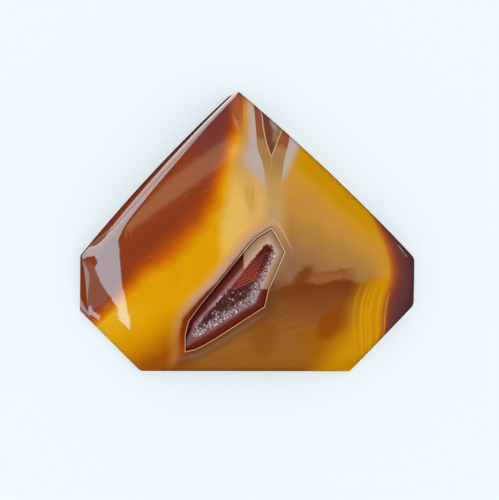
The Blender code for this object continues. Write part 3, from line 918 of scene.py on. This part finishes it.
def crystal(foot, axis, size, rng):
    """A six-sided crystal with a pointed tip."""
    axis = axis / np.linalg.norm(axis)
    side = np.cross(axis, (0.3, 0.9, 0.1))
    side /= np.linalg.norm(side)
    other = np.cross(axis, side)
    start = rng.uniform(0, math.tau)
    points = []
    for reach, width in ((CRYSTAL_ROOT, 1.0), (rng.uniform(*CRYSTAL_SHOULDER), SHOULDER_WIDTH)):
        for corner in range(CRYSTAL_SIDES):
            angle = start + corner * math.tau / CRYSTAL_SIDES
            spoke = side * math.cos(angle) + other * math.sin(angle)
            points.append(foot + axis * size * reach + spoke * size * width)
    tip = foot + axis * size * rng.uniform(*CRYSTAL_TIP)
    points.append(tip + side * size * rng.uniform(-TIP_SHIFT, TIP_SHIFT))
    return points


def crystal_faces(first):
    """Faces of one crystal, its sides, its point and its root."""
    root = [first + i for i in range(CRYSTAL_SIDES)]
    shoulder = [i + CRYSTAL_SIDES for i in root]
    tip = first + 2 * CRYSTAL_SIDES
    after = [(i + 1) % CRYSTAL_SIDES for i in range(CRYSTAL_SIDES)]
    faces = [(root[i], root[j], shoulder[j], shoulder[i]) for i, j in enumerate(after)]
    faces += [(shoulder[i], shoulder[j], tip) for i, j in enumerate(after)]
    return faces + [tuple(root[::-1])]


def build_crust():
    """The crust's body, and the crystals that stand on it."""
    rim = pocket_rim[::2]
    points, faces = crust_body(rim)
    body_faces = len(faces)
    rng = np.random.default_rng(CRYSTAL_SEED)
    feet = crystal_feet(rim, rng)
    heights = hollow_surface(feet, distance_to(rim, feet))
    slopes = []
    for step in (np.array((SLOPE_STEP, 0)), np.array((0, SLOPE_STEP))):
        ahead = hollow_surface(feet + step, distance_to(rim, feet + step))
        behind = hollow_surface(feet - step, distance_to(rim, feet - step))
        slopes.append((ahead - behind) / (2 * SLOPE_STEP))
    for foot, height, slope_x, slope_y in zip(feet, heights, *slopes):
        upright = np.array((-slope_x, -slope_y, 1.0))
        axis = upright / np.linalg.norm(upright) + rng.normal(0, CRYSTAL_LEAN, 3)
        on_wall = lower_gap(foot) < WALL_CRYSTALS
        size = rng.uniform(*(WALL_CRYSTAL_SIZES if on_wall else CRYSTAL_SIZES))
        faces += crystal_faces(len(points))
        points += crystal(np.array((*foot, height)), axis, size, rng)
    return points, faces, body_faces


crust_points, crust_faces, body_faces = build_crust()
crust = add_piece("druzy_lining", crust_points, crust_faces, False)
crust.data.polygons.foreach_set("use_smooth", [i < body_faces for i in range(len(crust_faces))])

crust_finish = bpy.data.materials.new("druzy_quartz")
crust_finish.use_nodes = True
crust_shader = crust_finish.node_tree.nodes["Principled BSDF"]
paint = Paint(crust_finish.node_tree)
metres = paint.add("TexCoord", output="Object")
spot = paint.add("VectorMath", {"operation": "SCALE"}, {0: metres, "Scale": 1 / MM})
x, y, z = [paint.add("SeparateXYZ", sockets={0: spot}, output=axis) for axis in "XYZ"]
mottle = paint.add("TexNoise", {}, {"Vector": spot, "Scale": 2.4, "Detail": 2.0})
across_stripes = y * (math.cos(STRIPE_TURN) / STRIPE_PITCH) - x * (math.sin(STRIPE_TURN) / STRIPE_PITCH)
phase = across_stripes * math.tau + (mottle - 0.5) * 2.0
stripe = phase.maths("COSINE", phase)
bare_floor = cover(BARE_RED, BARE_STRIPE, stripe.rise(-0.6, 0.9))
bare_floor = cover(bare_floor, BARE_SHADE, (x + y * 0.35).rise(-2.2, -0.2) * 0.6)
colour = cover(CRUST_DARK, CRUST_LIGHT, mottle.rise(0.42, 0.62))
bare = (across(x, y, *BARE_LINE) + (mottle - 0.5) * 0.5).rise(-0.1, 0.15)
colour = cover(colour, bare_floor, bare)
lower_sides = [across(x, y, start, end) for start, end in zip(LOWER_WALL, LOWER_WALL[1:])]
to_lower_wall = 0 - lower_sides[0].most(lower_sides[1])
glint = paint.add("TexVoronoi", {}, {"Vector": spot, "Scale": 4.0}, output="Color")
glint = paint.add("SeparateColor", sockets={0: glint})
# On the lower wall: dark and pale lilac crystals, the lilac partly a painted reflection of the window, with
# painted glints.
wall_colour = cover(WALL_DARK, WALL_PALE_AND_SHEEN, mottle.rise(0.40, 0.60))
wall_colour = cover(wall_colour, WALL_GLINT, glint.rise(0.70, 0.76))
lower_wall = (to_lower_wall + (mottle - 0.5) * 0.9 + bare * 0.55).rise(1.15, 0.6)
colour = cover(colour, wall_colour, lower_wall)
colour = cover(colour, CRUST_GLINT, glint.rise(0.93, 0.95) * (1 - bare))
rim_colour = cover(RIM_DARK, RIM_LIGHT, mottle.rise(0.42, 0.56))
rim_colour = cover(rim_colour, RIM_GLINT, glint.rise(0.84, 0.88))
rim_share = (z - y * 0.02).rise(5.6, 6.1) * (1 - bare * (1 - lower_wall) * 0.5)
colour = cover(colour, rim_colour, rim_share)
crust_finish.node_tree.links.new(colour.socket, crust_shader.inputs["Base Color"])
crust_shader.inputs["Roughness"].default_value = CRYSTAL_ROUGHNESS
crust_shader.inputs["IOR"].default_value = QUARTZ_IOR
crust.data.materials.append(crust_finish)
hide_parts("druzy_crust")
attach(crust, "root")


# The table and the light
# A plain pale table top in even daylight from the whole sky. A window on the left with
# its sill and wall, a sheet of white paper, the table's glare and a narrow panel overhead
# mirror in the polish and add only gloss.
TABLE_SIZE = 3.0
TABLE_ROUGHNESS = 0.9
TABLE_COLOUR = (0.42, 0.45, 0.46)
TABLE_GLOW = (0.44, 0.49, 0.52)
DAYLIGHT = (0.98, 1.0, 1.02)
DAYLIGHT_STRENGTH = 1.05
# Where the planes of the panels lie, in degrees: tilt from upright, bearing and turn.
WINDOW_FACING = (60, 168, 48)
PAPER_FACING = (126.7, 111.8, 43.7)
PANEL_FACING = (8.8, 74.7, 50.8)
# Each panel: its plane, its reach along and aside in that plane in metres, its radiance
# and its colour.
PANELS = (
    ("window", WINDOW_FACING, (0.08, 0.665), (-0.55, 0.35), 7.6, (0.42, 0.84, 1.0)),
    ("window_far_pane", WINDOW_FACING, (-0.45, 0.08), (-0.40, 0.35), 7.6, (0.42, 0.84, 1.0)),
    ("window_corner", WINDOW_FACING, (0.52, 0.665), (-0.80, -0.55), 7.6, (0.42, 0.84, 1.0)),
    ("table_glare", WINDOW_FACING, (-0.50, -0.01), (-1.60, -0.79), 2.8, (0.55, 0.90, 1.0)),
    ("window_sill", WINDOW_FACING, (-1.70, -0.45), (-0.45, 0.35), 6.4, (0.60, 0.92, 1.0)),
    ("white_paper", PAPER_FACING, (-0.50, 0.477), (-0.29, 0.10), 2.8, (0.84, 1.0, 1.0)),
    ("window_wall", WINDOW_FACING, (-3.50, 0.42), (-1.30, -0.55), 0.8, (0.30, 1.0, 1.0)),
    ("overhead_panel", PANEL_FACING, (-0.19, 0.19), (-0.0310, 0.0158), 2.1, (1.0, 0.80, 0.42)),
    ("panel_end", PANEL_FACING, (0.10, 0.30), (-0.4500, -0.0310), 2.1, (1.0, 0.80, 0.42)),
)

table_mesh = bpy.data.meshes.new("table_top")
half = TABLE_SIZE / 2
table_corners = [(-half, -half, 0), (half, -half, 0), (half, half, 0), (-half, half, 0)]
table_mesh.from_pydata(table_corners, [], [(0, 1, 2, 3)])
table = bpy.data.objects.new("table_top", table_mesh)
scene.collection.objects.link(table)
table_finish = bpy.data.materials.new("matt_table")
table_finish.use_nodes = True
table_shader = table_finish.node_tree.nodes["Principled BSDF"]
table_shader.inputs["Base Color"].default_value = (*TABLE_COLOUR, 1)
table_shader.inputs["Roughness"].default_value = TABLE_ROUGHNESS
table_shader.inputs["Specular IOR Level"].default_value = 0.0
table_shader.inputs["Emission Color"].default_value = (*TABLE_GLOW, 1)
table_shader.inputs["Emission Strength"].default_value = 1.0
table_mesh.materials.append(table_finish)
table.visible_glossy = False
table.visible_shadow = False

sky = bpy.data.worlds.new("daylight")
sky.use_nodes = True
backdrop = sky.node_tree.nodes["Background"]
backdrop.inputs["Color"].default_value = (*DAYLIGHT, 1)
backdrop.inputs["Strength"].default_value = DAYLIGHT_STRENGTH
sky.cycles_visibility.glossy = False
scene.world = sky


def panel_light(name, facing, along, aside, radiance, colour):
    """A flat panel on a plane 1 m off that faces the stone; it shows only in the polish."""
    width, height = along[1] - along[0], aside[1] - aside[0]
    data = bpy.data.lights.new(name, "AREA")
    data.shape = "RECTANGLE"
    data.size = width
    data.size_y = height
    data.energy = radiance * math.pi * width * height
    data.color = colour
    light = bpy.data.objects.new(name, data)
    tilt, bearing, turn = [math.radians(angle) for angle in facing]
    level = math.sin(tilt)
    way = Vector((level * math.cos(bearing), level * math.sin(bearing), math.cos(tilt)))
    turned = way.to_track_quat("Z", "Y").to_matrix() @ Matrix.Rotation(turn, 3, "Z")
    middle = turned @ Vector((sum(along) / 2, sum(aside) / 2, 0))
    light.matrix_world = Matrix.Translation(way + middle) @ turned.to_4x4()
    light.visible_diffuse = False
    scene.collection.objects.link(light)


for panel in PANELS:
    panel_light(*panel)


# The view
# The stone is seen from above and a little from its left, as if it lay on a table under
# a window, through a long lens.
# Lengths are in millimetres.
VIEW_TILT = math.radians(14.0)
VIEW_DISTANCE = 170.0
VIEW_TARGET = Vector((-0.65, -2.225, 3.0))
LENS = 87.8
CLIP_START = 0.01

view_right = Vector((math.cos(VIEW_TILT), 0, math.sin(VIEW_TILT)))
view_up = Vector((0, 1, 0))
view_back = view_right.cross(view_up)
camera_data = bpy.data.cameras.new("studio_camera")
camera_data.lens = LENS
camera_data.clip_start = CLIP_START
camera = bpy.data.objects.new("studio_camera", camera_data)
turn = Matrix((view_right, view_up, view_back)).transposed().to_4x4()
camera.matrix_world = Matrix.Translation((VIEW_TARGET + view_back * VIEW_DISTANCE) * MM) @ turn
scene.collection.objects.link(camera)
scene.camera = camera
scene.view_settings.view_transform = "Standard"
